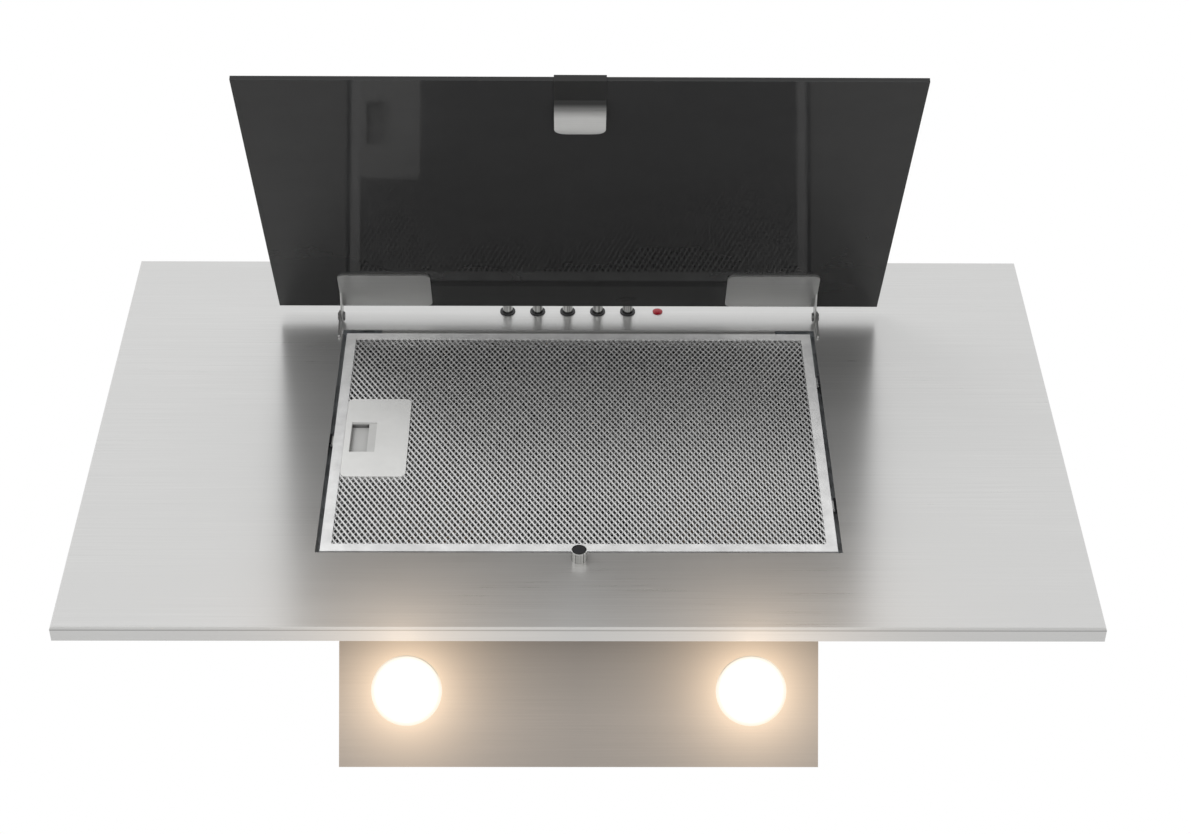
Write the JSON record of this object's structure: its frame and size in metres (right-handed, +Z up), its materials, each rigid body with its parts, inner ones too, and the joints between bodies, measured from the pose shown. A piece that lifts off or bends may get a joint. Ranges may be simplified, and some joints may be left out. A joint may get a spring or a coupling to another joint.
{
  "type": "wall mount range hood",
  "caption": "Inclined wall range hood with a brushed steel front, hinged glass panel over a metal grease filter, push buttons, lamps below and a round outlet on top.",
  "frame": {"origin": "centre of the four wall holes on the back plate's wall face", "axes": "+X to the right along the hood's width, +Y into the wall, +Z up"},
  "size_m": [0.9, 0.5969, 0.4626],
  "materials": {
    "plate_steel": "brushed along the width, satin",
    "zinc_sheet": "galvanised sheet, dull spangle",
    "black_plastic": "fine moulded grain",
    "motor_case": "dark grey paint on pressed steel",
    "capacitor_can": "smooth moulded can",
    "turned_steel": "turned and polished",
    "red_lens": "clear red, domed",
    "ferrite": "fired ferrite, matt black",
    "black_glass": "polished glass with a black coat",
    "lamp_glass": "frosted lens",
    "reflector": "vapour-plated bowl",
    "bulb_ceramic": "ceramic holder and clear capsule",
    "filter_aluminium": "plain aluminium, expanded and folded",
    "latch_plastic": "grey moulded, satin",
    "spring_steel": "drawn spring steel"
  },
  "bodies": {
    "root": {"front_plate": "plate_steel", "filter_tray": "zinc_sheet", "switch_housing": "zinc_sheet", "side_sheet_left": "plate_steel", "side_sheet_right": "plate_steel", "top_sheet": "plate_steel", "foot_sheet": "plate_steel", "back_plate": "zinc_sheet", "lamp_panel": "plate_steel", "outlet_collar": "black_plastic", "collar_screws": "zinc_sheet", "flap_pin": "turned_steel", "blower_scroll": "zinc_sheet", "blower_motor": "motor_case", "motor_bracket": "zinc_sheet", "motor_capacitor": "capacitor_can", "terminal_box": "black_plastic", "cable_gland": "black_plastic", "lamp_transformer": "black_plastic", "lamp_bezel_left": "plate_steel", "lamp_bezel_right": "plate_steel", "lamp_lens_left": "lamp_glass", "lamp_lens_right": "lamp_glass", "lamp_reflector_left": "reflector", "lamp_reflector_right": "reflector", "lamp_bulb_left": "bulb_ceramic", "lamp_bulb_right": "bulb_ceramic", "switch_block": "black_plastic", "pilot_lens": "red_lens", "magnet_post": "turned_steel", "magnet_disc": "ferrite", "hinge_arm_left": "plate_steel", "hinge_arm_right": "plate_steel", "hinge_pin_left": "turned_steel", "hinge_pin_right": "turned_steel", "arm_screws": "zinc_sheet", "keeper_clip_left": "spring_steel", "keeper_clips_right": "spring_steel"},
    "panel": {"glass_panel": "black_glass", "hinge_bracket_left": "plate_steel", "hinge_bracket_right": "plate_steel", "panel_handle": "plate_steel"},
    "filter": {"filter_frame": "filter_aluminium", "filter_mesh": "filter_aluminium", "filter_back_mesh": "filter_aluminium", "filter_latch_plate": "latch_plastic", "filter_catches": "filter_aluminium", "latch_spring": "spring_steel"},
    "latch": {"latch_slide": "latch_plastic"},
    "button_1": {"button_1": "turned_steel"},
    "button_2": {"button_2": "turned_steel"},
    "button_3": {"button_3": "turned_steel"},
    "button_4": {"button_4": "turned_steel"},
    "button_5": {"button_5": "turned_steel"},
    "flap_left": {"check_flap_left": "black_plastic"},
    "flap_right": {"check_flap_right": "black_plastic"},
    "fan": {"impeller": "black_plastic", "motor_shaft": "turned_steel"}
  },
  "joints": [
    {"name": "panel_hinge", "type": "hinge", "parent": "root", "child": "panel", "pos_m": [0, -0.4068, 0.08079], "axis": [-1, 0, 0], "range_deg": [-66.5, 0]},
    {"name": "filter_lift", "type": "slide", "parent": "root", "child": "filter", "axis": [0, -0.7738, -0.6334], "range_m": [0, 0.045], "deforming": ["keeper_clip_left", "keeper_clips_right"]},
    {"name": "latch_travel", "type": "slide", "parent": "filter", "child": "latch", "axis": [1, 0, 0], "range_m": [0, 0.006], "stiffness_N_per_m": 400, "springref_m": -0.001, "deforming": ["latch_spring"]},
    {"name": "button_1_travel", "type": "slide", "parent": "root", "child": "button_1", "axis": [0, 0.7738, 0.6334], "range_m": [-0.0025, 0]},
    {"name": "button_2_travel", "type": "slide", "parent": "root", "child": "button_2", "axis": [0, 0.7738, 0.6334], "range_m": [0, 0.0025], "stiffness_N_per_m": 400},
    {"name": "button_3_travel", "type": "slide", "parent": "root", "child": "button_3", "axis": [0, 0.7738, 0.6334], "range_m": [0, 0.0025], "stiffness_N_per_m": 400},
    {"name": "button_4_travel", "type": "slide", "parent": "root", "child": "button_4", "axis": [0, 0.7738, 0.6334], "range_m": [0, 0.0025], "stiffness_N_per_m": 400},
    {"name": "button_5_travel", "type": "slide", "parent": "root", "child": "button_5", "axis": [0, 0.7738, 0.6334], "range_m": [0, 0.0025], "stiffness_N_per_m": 400},
    {"name": "flap_left_swing", "type": "hinge", "parent": "root", "child": "flap_left", "pos_m": [0, -0.084, 0.18323], "axis": [0, 1, 0], "range_deg": [0, 80]},
    {"name": "flap_right_swing", "type": "hinge", "parent": "root", "child": "flap_right", "pos_m": [0, -0.084, 0.18323], "axis": [0, -1, 0], "range_deg": [0, 80]},
    {"name": "fan_spin", "type": "hinge", "parent": "root", "child": "fan", "pos_m": [0, -0.132, 0], "axis": [1, 0, 0], "continuous": true}
  ]
}
